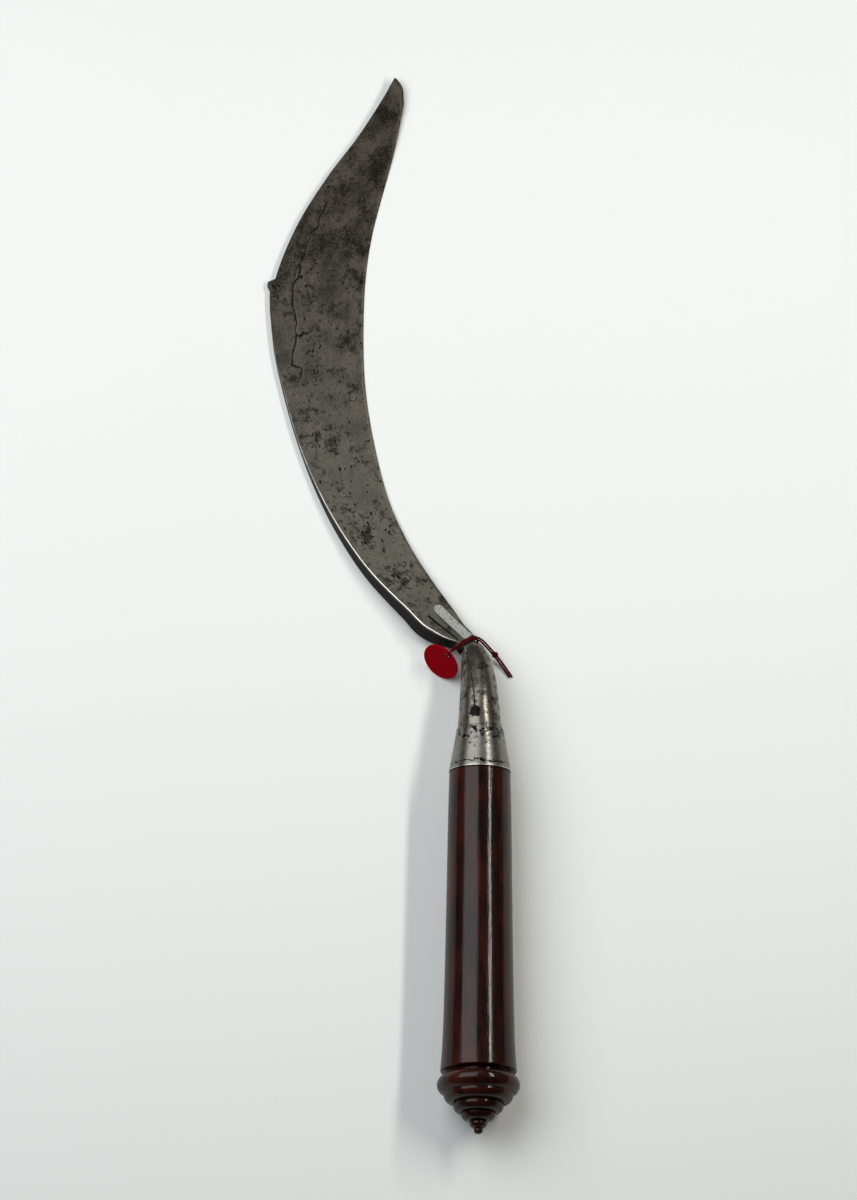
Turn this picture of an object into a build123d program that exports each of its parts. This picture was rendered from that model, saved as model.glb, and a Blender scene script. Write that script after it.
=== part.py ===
from build123d import *
import os
from math import cos, pi, radians, sin, tan

# Hand sickle lying on a bench, in millimetres. +Y runs from the pommel to the point of the
# blade, +X is the side of the cutting edge, +Z is up. The origin is on the bench, under the
# middle of the tool. The handle's axis is parallel to +Y.

os.makedirs("parts", exist_ok=True)

# Driving dimensions
AXIS_X = 44.5  # handle axis, to the right of the tool's middle
END_Y = -281.4  # free end of the pommel
TORUS_R = 21.2  # largest ring of the pommel, which stands on the bench
AXIS_Z = TORUS_R
GRIP_FOOT = 31.5  # distances along the handle, from the pommel's free end
GRIP_TOP = 189.8
FERRULE_TOP = 212.6
RIM_R = 19.5
GRIP_TOP_R = 15.6
FERRULE_FOOT_R = 15.9
FERRULE_TOP_R = 11.9
FERRULE_WALL = 1.6
JOINT_STEP = 0.35  # how far the sleeve stands in from the ferrule, whose top arris is eased as much
SPIGOT_R = 8.0
WASHER_R = 7.0
WASHER_T = 1.5
TANG_SIDE = 8.0
TANG_FOOT_SIDE = 5.0
RIVET_R = 1.9
DISC_R = 10.2
DISC_T = 1.0
DISC_HOLE_R = 1.25
CORD_R = 0.55
FIT = 0.1  # play between a wooden bore and what it holds
TALL = 20.0  # height of an upright prism that cuts or trims a sloping part right through

handle_axis = Axis((AXIS_X, END_Y, AXIS_Z), (0, 1, 0))
turning_plane = Plane((AXIS_X, END_Y, AXIS_Z))


def across_handle(distance):
    """Plane square to the handle, its own x along +X and its y along +Z."""
    return Plane((AXIS_X, END_Y + distance, AXIS_Z), x_dir=(1, 0, 0), z_dir=(0, -1, 0))


# Pommel: turned hardwood finial of five stepped mouldings under one big torus.
# Each step is a quarter round from the step below, then a short upright side.
step_feet = [(1.8, 2.8), (4.2, 6.8), (8.7, 11.0), (12.7, 16.2)]
step_tops = [(4.4, 5.8), (8.9, 10.1), (12.9, 14.5), (17.8, 19.9)]
TORUS_FOOT = (17.8, 20.8)
TORUS_HEAD = (17.9, 30.1)
COLLAR_R = 15.0  # narrow collar in the groove between the torus and the grip
BUTTON_R = 2.3
BUTTON_ROUND = 1.7
SPIGOT_L = 8.0
with BuildPart() as pommel:
    with BuildSketch(turning_plane):
        with BuildLine():
            Line((0, 0), (BUTTON_R - BUTTON_ROUND, 0))
            RadiusArc((BUTTON_R - BUTTON_ROUND, 0), (BUTTON_R, BUTTON_ROUND), -BUTTON_ROUND)
            Polyline((BUTTON_R, BUTTON_ROUND), (BUTTON_R, 2.2), step_feet[0])
            for foot, top, upper in zip(step_feet, step_tops, step_feet[1:] + [TORUS_FOOT]):
                bulge = (foot[0] + 0.8 * (top[0] - foot[0]), foot[1] + 0.35 * (top[1] - foot[1]))
                ThreePointArc(foot, bulge, top)
                Line(top, upper)
            ThreePointArc(TORUS_FOOT, (TORUS_R, 25.5), TORUS_HEAD)
            Polyline(TORUS_HEAD, (COLLAR_R, 30.9), (COLLAR_R, GRIP_FOOT), (SPIGOT_R, GRIP_FOOT))
            spigot_end = GRIP_FOOT + SPIGOT_L
            Polyline((SPIGOT_R, GRIP_FOOT), (SPIGOT_R, spigot_end), (0, spigot_end), (0, 0))
        make_face()
    revolve(axis=handle_axis)
pommel.part.label = "pommel"
export_step(pommel.part, "parts/pommel.step")

# Grip: turned hardwood, slightly swelled towards a flared rim at the pommel. A cone at its top
# enters the ferrule, a square hole takes the tang and a round one the pommel's spigot.
CONE_SLOPE = (FERRULE_FOOT_R - FERRULE_TOP_R) / (FERRULE_TOP - GRIP_TOP)
TENON_TOP = FERRULE_TOP - 3.5
RECESS_TOP = GRIP_FOOT + 14.0
tenon_foot_r = FERRULE_FOOT_R - FERRULE_WALL - FIT
tenon_top_r = tenon_foot_r - CONE_SLOPE * (TENON_TOP - GRIP_TOP)
rim = (RIM_R, 32.8)
GRIP_EASE = 0.6  # eased arris where the grip meets the ferrule
eased_foot = (GRIP_TOP_R, GRIP_TOP - GRIP_EASE)
eased_top = (GRIP_TOP_R - GRIP_EASE, GRIP_TOP)
with BuildPart() as grip:
    with BuildSketch(turning_plane):
        with BuildLine():
            Polyline((0, GRIP_FOOT), (COLLAR_R, GRIP_FOOT), (COLLAR_R, 32.3), (19.1, 32.3), rim)
            Spline(rim, (18.7, 44), (17.9, 66), (17.0, 110), (16.35, 155), eased_foot)
            Polyline(eased_foot, eased_top, (tenon_foot_r, GRIP_TOP), (tenon_top_r, TENON_TOP))
            Polyline((tenon_top_r, TENON_TOP), (0, TENON_TOP), (0, GRIP_FOOT))
        make_face()
    revolve(axis=handle_axis)
    with BuildSketch(across_handle(GRIP_FOOT)):
        Circle(SPIGOT_R + FIT)
    extrude(amount=GRIP_FOOT - RECESS_TOP, mode=Mode.SUBTRACT)
    with BuildSketch(across_handle(RECESS_TOP)):
        Rectangle(TANG_FOOT_SIDE + 2 * FIT, TANG_FOOT_SIDE + 2 * FIT)
    with BuildSketch(across_handle(TENON_TOP)):
        Rectangle(TANG_SIDE + 2 * FIT, TANG_SIDE + 2 * FIT)
    loft(mode=Mode.SUBTRACT)
grip.part.label = "grip"
export_step(grip.part, "parts/grip.step")

# Ferrule: a hollow iron cone, driven over the grip's tenon and butted by the shank sleeve.
with BuildPart() as ferrule:
    with BuildSketch(turning_plane):
        with BuildLine():
            foot_in = (FERRULE_FOOT_R - FERRULE_WALL, GRIP_TOP)
            top_in = (FERRULE_TOP_R - FERRULE_WALL, FERRULE_TOP)
            foot_out = (FERRULE_FOOT_R, GRIP_TOP)
            arris = (FERRULE_TOP_R + CONE_SLOPE * JOINT_STEP, FERRULE_TOP - JOINT_STEP)
            top_out = (FERRULE_TOP_R - JOINT_STEP, FERRULE_TOP)
            Polyline(foot_in, foot_out, arris, top_out, top_in, foot_in)
        make_face()
    revolve(axis=handle_axis)
ferrule.part.label = "ferrule"
export_step(ferrule.part, "parts/ferrule.step")

# Shank: centre line from the ferrule, dropping and turning left to the neck of the blade.
# Each stop is offset from the handle axis (x), distance, height, lean to the left in degrees,
# fall in degrees and outer radius of the sleeve.
shank_stops = [
    (0.0, FERRULE_TOP, AXIS_Z, 0, 0, FERRULE_TOP_R - JOINT_STEP),
    (-0.5, 225.0, 20.8, 2, 8, 10.2),
    (-0.9, 236.5, 18.6, 5, 12, 9.3),
    (-1.8, 246.0, 16.3, 12, 15, 8.2),
    (-3.0, 252.0, 14.7, 20, 16, 7.2),
    (-4.6, 256.4, 13.3, 27, 16, 5.9),
]


def shank_plane(stop):
    """Plane square to the shank's centre line at a stop, its own y pointing up."""
    x, distance, height, lean, fall, _ = stop
    ahead = Vector(-sin(radians(lean)), cos(radians(lean)), -tan(radians(fall)))
    right = Vector(cos(radians(lean)), sin(radians(lean)), 0)
    return Plane((AXIS_X + x, END_Y + distance, height), x_dir=right, z_dir=-ahead)


# Shank sleeve: sheet iron rolled into a bent, tapering tube, its edges meeting in an open seam
# along the top. The seam runs from the mouth to the rivet.
SLEEVE_WALL = 1.5
SEAM_W = 0.7
RIVET_X = -2.6
RIVET_AT = 219.5
with BuildPart() as shank_sleeve:
    for stop in shank_stops:
        with BuildSketch(shank_plane(stop)):
            Circle(stop[5])
    loft()
    for stop in shank_stops:
        with BuildSketch(shank_plane(stop)):
            Circle(stop[5] - SLEEVE_WALL)
    loft(mode=Mode.SUBTRACT)
    with BuildSketch(Plane((AXIS_X, END_Y, AXIS_Z - 4))):
        with BuildLine():
            Spline((-8.8, 262.0), (-6.6, 250), (-4.3, 238), (-3.0, 220.5))
        trace(line_width=SEAM_W)
    extrude(amount=TALL, mode=Mode.SUBTRACT)
    with Locations((AXIS_X + RIVET_X, END_Y + RIVET_AT, AXIS_Z + 10)):
        Cylinder(RIVET_R, 12, mode=Mode.SUBTRACT)
shank_sleeve.part.label = "shank_sleeve"
export_step(shank_sleeve.part, "parts/shank_sleeve.step")

# Seam rivet: pins the sleeve's seam to the tang, filed off a little below the surface.
with BuildPart() as seam_rivet:
    with Locations((AXIS_X + RIVET_X, END_Y + RIVET_AT, AXIS_Z + 7)):
        Cylinder(RIVET_R - 0.02, 5.2)
seam_rivet.part.label = "seam_rivet"
export_step(seam_rivet.part, "parts/seam_rivet.step")

# Blade: plan points of the back (bottom arris) and of the cutting edge, in pairs from the neck
# to the point. x is from the handle axis, y from the pommel's free end.
back_line = [
    (-14.0, 259.2), (-21.5, 260.9), (-30.0, 265.2), (-40.2, 276.2), (-59.1, 298.1), (-74.3, 322.4),
    (-89.4, 356.0), (-100.0, 390.0), (-106.9, 423.0), (-107.5, 448.5), (-95.8, 483.0),
    (-79.3, 511.0), (-64.9, 530.8), (-54.9, 546.4), (-49.3, 555.8), (-47.0, 560.0), (-45.8, 562.2),
]
edge_line = [
    (-3.0, 264.6), (-8.0, 271.2), (-13.4, 279.3), (-22.3, 292.1), (-35.7, 313.6), (-46.0, 336.0),
    (-54.4, 368.0), (-59.3, 399.0), (-60.5, 427.5), (-59.8, 453.0), (-56.5, 479.0),
    (-51.4, 500.3), (-46.0, 521.3), (-42.2, 539.5), (-40.6, 551.5), (-41.8, 559.0), (-44.2, 562.4),
]
ROOT_AT = 262.0  # middle of the first pair
FLAT_FROM = 373.0  # the underside lies on the bench between these two distances
FLAT_TO = 499.0
ROOT_LIFT = 7.0
POINT_LIFT = 4.0
BACK_T = 3.6  # thickness of the back along the flat stretch
ROOT_T = 8.6
POINT_T = 2.4
EDGE_T = 0.7
EDGE_ROOT_T = 5.0  # added where the cutting edge runs out at the neck
SKEW = 4.6  # how far the back's upper arris stands in from the lower one, at the root
BEDDING = 0.15  # ground off the underside, so that it lies flat on the bench


def blade_section(back, edge):
    """Plane and corner points of one cross-section of the blade."""
    middle = (back[1] + edge[1]) / 2
    root_share = max(0, FLAT_FROM - middle) / (FLAT_FROM - ROOT_AT)
    point_share = max(0, middle - FLAT_TO) / (back_line[-1][1] - FLAT_TO)
    lift = ROOT_LIFT * root_share**2 + POINT_LIFT * point_share**2 - BEDDING
    thickness = BACK_T + (ROOT_T - BACK_T) * root_share**1.3 - (BACK_T - POINT_T) * point_share
    across = Vector(edge[0] - back[0], edge[1] - back[1])
    width = across.length
    skew = min(0.4 + SKEW * root_share**1.2, 0.22 * width)
    edge_t = EDGE_T + EDGE_ROOT_T * root_share**16
    plane = Plane(
        (AXIS_X + back[0], END_Y + back[1], lift), x_dir=across, z_dir=across.cross(Vector(0, 0, 1))
    )
    return plane, [(0, 0), (skew, thickness), (width, edge_t), (width, 0)]


with BuildPart() as blade_stock:
    for back, edge in zip(back_line, edge_line):
        section_plane, corners = blade_section(back, edge)
        with BuildSketch(section_plane):
            Polygon(*corners, align=None)
    loft()
    split(bisect_by=Plane.XY, keep=Keep.TOP)

# Neck: the blade's root drawn down to a stubby bar, between the blade and the sleeve's mouth.
NECK_W = 9.0
NECK_H = 7.0
neck_stop = (-6.7, 259.9, 12.2, 28, 14, NECK_W / 2)
with BuildPart() as neck:
    section_plane, corners = blade_section(back_line[0], edge_line[0])
    with BuildSketch(section_plane):
        Polygon(*corners, align=None)
    with BuildSketch(shank_plane(neck_stop)):
        Rectangle(NECK_W, NECK_H)
    loft()

# Tang: iron bar in one run from the neck through the sleeve and the grip, peened over the
# washer. A tongue of it is lapped and forge-welded on the blade's root.
TONGUE_T = 1.5
LAP_GAP = 0.4
TONGUE_TIP = [(-27.3, 279.6), (-25.2, 284.0), (-21.0, 284.4)]
TONGUE_ROOT = [(-4.4, 266.4), (-2.0, 261.0), (-12.2, 258.6)]


def tongue_cut(gap):
    """Upright prism round the tongue's plan, less the metal left under the tongue."""
    with BuildPart() as cut:
        with BuildSketch(Plane((AXIS_X, END_Y, 5))):
            lap_side = [(-11.5 - gap, 262.4), (-25.8 - gap, 275.1)]
            Polygon(*lap_side, *TONGUE_TIP, *TONGUE_ROOT, align=None)
        extrude(amount=TALL)
        add(blade_stock.part.moved(Location((0, 0, -TONGUE_T))), mode=Mode.SUBTRACT)
    return cut.part


MOUTH_SIDE = 6.0
bar_sides = [TANG_SIDE, TANG_SIDE, TANG_SIDE, TANG_SIDE, 7.4, MOUTH_SIDE]  # inside the sleeve
PEEN_R = 2.3
HEAD_R = 3.4
HEAD_T = 2.0
with BuildPart() as tang:
    add(blade_stock.part)
    add(tongue_cut(0), mode=Mode.INTERSECT)
    add(neck.part)
    with BuildSketch(shank_plane(neck_stop)):
        Rectangle(MOUTH_SIDE, MOUTH_SIDE)
    for stop, side in zip(reversed(shank_stops), reversed(bar_sides)):
        with BuildSketch(shank_plane(stop)):
            Rectangle(side, side)
    loft(ruled=True)
    with BuildSketch(across_handle(FERRULE_TOP)):
        Rectangle(TANG_SIDE, TANG_SIDE)
    with BuildSketch(across_handle(RECESS_TOP)):
        Rectangle(TANG_FOOT_SIDE, TANG_FOOT_SIDE)
    loft()
    with BuildSketch(across_handle(RECESS_TOP)):
        Circle(PEEN_R)
    extrude(amount=WASHER_T)
    with BuildSketch(across_handle(RECESS_TOP - WASHER_T)):
        Circle(HEAD_R)
    extrude(amount=HEAD_T, taper=12)
tang.part.label = "tang"
export_step(tang.part, "parts/tang.step")

# Tang washer: iron disc in the grip's recess, under the peened end of the tang.
with BuildPart() as tang_washer:
    with BuildSketch(across_handle(RECESS_TOP)):
        Circle(WASHER_R)
        Circle(PEEN_R, mode=Mode.SUBTRACT)
    extrude(amount=WASHER_T)
tang_washer.part.label = "tang_washer"
export_step(tang_washer.part, "parts/tang_washer.step")

# Blade with the small forged spur on its back, and the open lap line beside the tongue.
SPUR_T = 3.4
with BuildPart() as blade:
    add(blade_stock.part)
    with BuildSketch(Plane((AXIS_X, END_Y, 0))):
        with BuildLine():
            Polyline((-103, 456.4), (-109.6, 455.0), (-110.4, 453.2), (-109.4, 449.6), (-108.6, 444.5))
            Polyline((-108.6, 444.5), (-107.6, 436), (-101, 440), (-103, 456.4))
        make_face()
    extrude(amount=SPUR_T)
    add(tongue_cut(LAP_GAP), mode=Mode.SUBTRACT)
blade.part.label = "blade"
export_step(blade.part, "parts/blade.step")

# Number patch: a thin strip of pale paint on the root, left blank.
PATCH_W = 4.7
PATCH_T = 0.2
patch_ends = [(-21.4, 279.5), (-6.1, 263.5)]
with BuildPart() as number_patch:
    add(blade_stock.part.moved(Location((0, 0, PATCH_T))))
    with BuildSketch(Plane((AXIS_X, END_Y, 5))):
        with BuildLine():
            Line(*patch_ends)
        trace(line_width=PATCH_W)
        with Locations(patch_ends[0]):
            Circle(PATCH_W / 2)
    extrude(amount=TALL, mode=Mode.INTERSECT)
    add(blade_stock.part, mode=Mode.SUBTRACT)
number_patch.part.label = "number_patch"
export_step(number_patch.part, "parts/number_patch.step")

# Tag disc: stiff red fibre, leaning outwards from the neck with its lower rim on the bench.
disc_plane = Plane(
    (AXIS_X - 20.1, END_Y + 251.6, 9.25), x_dir=(0.459, 0.218, 0.859), z_dir=(-0.554, -0.682, 0.473)
)
HOLE_OFFSET = 7.1
with BuildPart() as tag_disc:
    with BuildSketch(disc_plane):
        Circle(DISC_R)
        with Locations((HOLE_OFFSET, 0)):
            Circle(DISC_HOLE_R, mode=Mode.SUBTRACT)
    extrude(amount=DISC_T / 2, both=True)
    chamfer(tag_disc.edges().filter_by(GeomType.CIRCLE).sort_by(SortBy.RADIUS)[-2:], 0.2)
tag_disc.part.label = "tag_disc"
export_step(tag_disc.part, "parts/tag_disc.step")

# Cord collar: two turns of waxed cord round the neck.
SLACK = 0.4  # between the cord and the neck, on each side
half_w = NECK_W / 2 + CORD_R + SLACK
half_h = NECK_H / 2 + CORD_R + SLACK
ring_corners = [(half_w, -half_h), (half_w, half_h), (-half_w, half_h), (-half_w, -half_h)]
with BuildPart() as cord_collar:
    for turn in (-1, 1):
        with BuildLine(shank_plane(neck_stop).offset(turn * (CORD_R + 0.02) + 0.4)):
            ring = FilletPolyline(*ring_corners, radius=1.8, close=True)
        with BuildSketch(Plane(origin=ring @ 0, z_dir=ring % 0)):
            Circle(CORD_R)
        sweep(path=ring)
cord_collar.part.label = "cord_collar"
export_step(cord_collar.part, "parts/cord_collar.step")


def corner_radii(points):
    """Largest arc that each corner's two runs allow."""
    radii = []
    for before, here, after in zip(points, points[1:], points[2:]):
        turn = (here - before).get_angle(after - here)
        shorter = min((here - before).length, (after - here).length)
        radii.append(0.45 * shorter / tan(radians(turn / 2)))
    return radii


def cord_tube(name, route):
    """Round cord along straight runs joined by tangent arcs. Points are from the handle."""
    points = [Vector(AXIS_X + x, END_Y + distance, height) for x, distance, height in route]
    radii = corner_radii(points)
    with BuildPart() as tube:
        with BuildLine():
            path = FilletPolyline(*points, radius=radii)
        with BuildSketch(Plane(origin=path @ 0, z_dir=path % 0)):
            Circle(CORD_R)
        sweep(path=path)
    tube.part.label = name
    export_step(tube.part, f"parts/{name}.step")
    expected = pi * CORD_R**2 * path.length
    print(name, "length", round(path.length, 1), "radii", [round(r, 1) for r in radii])
    print(name, "volume", round(tube.part.volume, 2), "section times length", round(expected, 2))


# Cord loop: from the collar over the disc's rim, through its hole and back to the collar.
hole = disc_plane.from_local_coords(Vector(HOLE_OFFSET, 0, 0))
over_rim = disc_plane.from_local_coords(Vector(HOLE_OFFSET + 5.4, 0, 2.2))
before_hole = disc_plane.from_local_coords(Vector(HOLE_OFFSET, 0, 2.4))
behind_hole = disc_plane.from_local_coords(Vector(HOLE_OFFSET, 0, -2.2))
frame_shift = Vector(AXIS_X, END_Y, 0)
cord_tube(
    "cord_loop",
    [
        (-8.6, 259.4, 16.9),
        tuple(over_rim - frame_shift),
        tuple(before_hole - frame_shift),
        tuple(behind_hole - frame_shift),
        (-11.9, 258.0, 13.0),
    ],
)
print("tag hinge", hole, disc_plane.y_dir)

# Cord tails: the two free ends leave the collar on the right, pass the knot and lie down on
# the bench with cut ends.
cord_tube(
    "cord_tail_a",
    [(-7.6, 259.9, 17.0), (-3.6, 262.0, 16.9), (-0.1, 260.9, 15.6), (2.7, 258.8, 12.4),
     (5.1, 257.2, 8.2), (6.9, 256.2, 4.6), (10.4, 252.4, 1.5), (14.9, 245.8, 0.75)],
)
cord_tube(
    "cord_tail_b",
    [(-6.9, 260.8, 17.1), (-2.9, 262.9, 17.0), (0.7, 261.7, 15.6), (3.5, 259.6, 12.3),
     (5.9, 258.0, 8.1), (7.7, 257.0, 4.7), (11.3, 253.0, 1.6), (16.2, 246.0, 0.75)],
)

# Cord knot: the two strands tied together just before their free ends.
KNOT_R = 1.75
with BuildPart() as cord_knot:
    with Locations((AXIS_X + 7.3, END_Y + 256.6, 4.9)):
        Sphere(KNOT_R)
cord_knot.part.label = "cord_knot"
export_step(cord_knot.part, "parts/cord_knot.step")
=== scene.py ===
from math import cos, pi, radians, sin

import bpy
import numpy as np
from mathutils import Matrix, Vector, noise


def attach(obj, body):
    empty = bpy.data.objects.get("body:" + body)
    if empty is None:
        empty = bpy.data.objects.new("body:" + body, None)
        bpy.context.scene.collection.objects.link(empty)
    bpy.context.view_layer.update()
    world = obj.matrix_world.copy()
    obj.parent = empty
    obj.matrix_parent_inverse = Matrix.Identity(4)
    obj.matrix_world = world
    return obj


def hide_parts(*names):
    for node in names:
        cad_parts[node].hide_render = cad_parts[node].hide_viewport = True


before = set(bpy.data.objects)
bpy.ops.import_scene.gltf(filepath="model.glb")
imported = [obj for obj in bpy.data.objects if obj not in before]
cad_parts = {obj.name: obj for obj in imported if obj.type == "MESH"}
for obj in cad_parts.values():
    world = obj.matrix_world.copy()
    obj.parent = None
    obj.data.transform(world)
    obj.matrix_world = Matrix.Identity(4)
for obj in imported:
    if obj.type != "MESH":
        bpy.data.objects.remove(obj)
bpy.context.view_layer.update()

# Bench: the smooth board that the tool lies on. It is painted off-white and dead matt, so it
# shows soft shadows and no shine.


def hex_colour(code):
    """Linear colour of an sRGB hex value, with full alpha."""
    shares = [int(code[i:i + 2], 16) / 255 for i in (1, 3, 5)]
    return [c / 12.92 if c <= 0.04045 else ((c + 0.055) / 1.055) ** 2.4 for c in shares] + [1.0]


def add_node(material, kind, values={}, links={}, **settings):
    """A shader node with its settings, its socket values and its incoming links."""
    made = material.node_tree.nodes.new(kind)
    for name, value in settings.items():
        setattr(made, name, value)
    for socket, value in values.items():
        made.inputs[socket].default_value = value
    for socket, source in links.items():
        material.node_tree.links.new(source, made.inputs[socket])
    return made


def new_finish(name, **sockets):
    """A material and its shader, with the shader's constant values set on its own sockets."""
    material = bpy.data.materials.new(name)
    material.use_nodes = True
    shader = material.node_tree.nodes["Principled BSDF"]
    for socket, value in sockets.items():
        shader.inputs[socket.replace("_", " ")].default_value = value
    return material, shader


# Off-white emulsion, rolled on: even and matt.
emulsion, emulsion_shader = new_finish("off_white_emulsion", Roughness=0.95)
emulsion_shader.inputs["Base Color"].default_value = hex_colour("#E9EAE6")
emulsion_shader.inputs["Specular IOR Level"].default_value = 0.1

bpy.ops.object.select_all(action="DESELECT")
bpy.ops.mesh.primitive_plane_add(size=8)
bench = bpy.context.object
bench.name = "bench"
bench.data.materials.append(emulsion)

# Lamps: two long softboxes beside the tool and a small one past the point, over a dim room.
# The right one is narrow and strong, and draws the bright line down the turned handle.
TOOL_MIDDLE = Vector((0.02, 0.0, 0.02))


def softbox(name, toward, distance, width, length, power, colour):
    """A square-on rectangular lamp, its long side along the handle."""
    away = Vector(toward).normalized()
    bpy.ops.object.light_add(type="AREA", location=TOOL_MIDDLE + away * distance)
    lamp = bpy.context.object
    lamp.name = name
    across = Vector((0, 1, 0)).cross(away).normalized()
    turned = Matrix((across, away.cross(across), away)).transposed()
    lamp.matrix_world = Matrix.Translation(lamp.location) @ turned.to_4x4()
    lamp.data.shape = "RECTANGLE"
    lamp.data.size = width
    lamp.data.size_y = length
    lamp.data.energy = power
    lamp.data.color = hex_colour(colour)[:3]


softbox("softbox_right", (0.79, 0.27, 1.0), 0.95, 0.06, 0.8, 4.9, "#FFFDF8")
softbox("softbox_left", (-0.58, 0.21, 1.0), 0.95, 0.9, 1.0, 8.8, "#F6FBFF")
softbox("softbox_far", (0.0, 1.0, 1.05), 1.2, 0.5, 0.3, 0.8, "#FFFFFF")

room = bpy.data.worlds.new("room")
bpy.context.scene.world = room
room.use_nodes = True
room.node_tree.nodes["Background"].inputs["Color"].default_value = hex_colour("#F4F6FA")
room.node_tree.nodes["Background"].inputs["Strength"].default_value = 0.08
bpy.context.scene.view_settings.view_transform = "Standard"

# Camera: above the tool and a little towards the pommel, on a long lens that shows it almost
# without perspective.
AIM = Vector((0.0179, 0.0053, 0.0))
CAMERA_HEIGHT = radians(74.5)
CAMERA_ROLL = radians(0.29)
CAMERA_DISTANCE = 17.0
LENS_MM = 1000
back = Vector((0, -cos(CAMERA_HEIGHT), sin(CAMERA_HEIGHT)))
level = Vector((1, 0, 0))
upright = back.cross(level)
right = cos(CAMERA_ROLL) * level + sin(CAMERA_ROLL) * upright
up = back.cross(right)
bpy.ops.object.camera_add()
camera = bpy.context.object
facing = Matrix((right, up, back)).transposed().to_4x4()
camera.matrix_world = Matrix.Translation(AIM + back * CAMERA_DISTANCE) @ facing
camera.data.lens = LENS_MM
camera.data.clip_start = 1
camera.data.clip_end = 100
bpy.context.scene.camera = camera

# Cord tails: the two free ends of the tag's string. Waxed linen thread, three plies laid up,
# cut square. They leave the collar on the right, pass the knot and lie down on the bench.
CORD_D = 0.0011
PLY_D = 0.00054
LAY_LENGTH = 0.0034  # one full turn of the plies
HANDLE_X = 0.0445
POMMEL_Y = -0.2814

# Waxed linen thread, dyed dark red: the wax fills the fibres, so it has a low sheen and dark
# furrows between the plies. Fibre fuzz of 0.15 mm is drawn at 0.4 mm, the least that shows.
waxed_thread, shader = new_finish("waxed_linen_thread", Roughness=0.7, Specular_IOR_Level=0.08)
place = add_node(waxed_thread, "ShaderNodeTexCoord")
fuzz = add_node(
    waxed_thread, "ShaderNodeTexNoise", {"Scale": 2500.0, "Detail": 3.0},
    {"Vector": place.outputs["Object"]},
)
dirt = add_node(
    waxed_thread, "ShaderNodeTexNoise", {"Scale": 320.0, "Detail": 2.0},
    {"Vector": place.outputs["Object"]},
)
dye = add_node(
    waxed_thread, "ShaderNodeMix", {"A": hex_colour("#2A0306"), "B": hex_colour("#620B12")},
    {"Factor": dirt.outputs["Fac"]}, data_type="RGBA",
)
tooth = add_node(
    waxed_thread, "ShaderNodeBump", {"Strength": 0.5, "Distance": 0.0001},
    {"Height": fuzz.outputs["Fac"]},
)
waxed_thread.node_tree.links.new(dye.outputs["Result"], shader.inputs["Base Color"])
waxed_thread.node_tree.links.new(tooth.outputs["Normal"], shader.inputs["Normal"])


def from_handle(x, distance, height):
    """A place given in millimetres, from the handle's axis and the pommel's free end."""
    return (HANDLE_X + x / 1000, POMMEL_Y + distance / 1000, height / 1000)


def smooth_line(route):
    """Points along the smooth line that a route's points control."""
    curve = bpy.data.curves.new("line", "CURVE")
    curve.dimensions = "3D"
    curve.resolution_u = 20
    spline = curve.splines.new("NURBS")
    spline.points.add(len(route) - 1)
    for point, spot in zip(spline.points, route):
        point.co = (*spot, 1)
    spline.order_u = 3
    spline.use_endpoint_u = True
    carrier = bpy.data.objects.new("line", curve)
    mesh = bpy.data.meshes.new_from_object(carrier)
    points = [vertex.co.copy() for vertex in mesh.vertices]
    bpy.data.objects.remove(carrier)
    bpy.data.meshes.remove(mesh)
    return points


def lay_up(name, line, closed=False):
    """Three plies twisted round a line, as one mesh piece."""
    points = np.array(line)
    run = np.concatenate([[0], np.cumsum(np.linalg.norm(np.diff(points, axis=0), axis=1))])
    steps = max(24, int(run[-1] / 0.00022))
    turns = max(1, round(run[-1] / LAY_LENGTH))
    where = np.linspace(0, run[-1], steps + 1)
    centre = np.stack([np.interp(where, run, points[:, k]) for k in range(3)], axis=1)
    ahead = np.gradient(centre, axis=0)
    if closed:
        ahead[0] = ahead[-1] = centre[1] - centre[-2]
    side = Vector(ahead[0]).orthogonal().normalized()
    frames = []
    for direction in ahead:
        tangent = Vector(direction).normalized()
        side = (side - tangent * side.dot(tangent)).normalized()
        frames.append((side.copy(), tangent.cross(side)))
    twist_gap = 0.0
    if closed:
        last_side, last_up = frames[-1]
        first = frames[0][0]
        twist_gap = np.arctan2(first.dot(last_up), first.dot(last_side))
    plies = bpy.data.curves.new(name, "CURVE")
    plies.dimensions = "3D"
    plies.bevel_depth = PLY_D / 2
    plies.bevel_resolution = 2
    plies.use_fill_caps = True
    for ply in range(3):
        spline = plies.splines.new("POLY")
        count = steps if closed else steps + 1
        spline.points.add(count - 1)
        spline.use_cyclic_u = closed
        for i in range(count):
            share = i / steps
            angle = 2 * pi * (ply / 3 + turns * share) + twist_gap * share
            offset = (frames[i][0] * cos(angle) + frames[i][1] * sin(angle)) * (CORD_D - PLY_D) / 2
            spline.points[i].co = (*(Vector(centre[i]) + offset), 1)
    bpy.ops.object.select_all(action="DESELECT")
    piece = bpy.data.objects.new(name, plies)
    bpy.context.scene.collection.objects.link(piece)
    piece.select_set(True)
    bpy.context.view_layer.objects.active = piece
    bpy.ops.object.convert(target="MESH")
    piece = bpy.context.object
    piece.data.materials.clear()
    piece.data.materials.append(waxed_thread)
    bpy.ops.object.shade_smooth()
    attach(piece, "sickle")
    return piece


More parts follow.
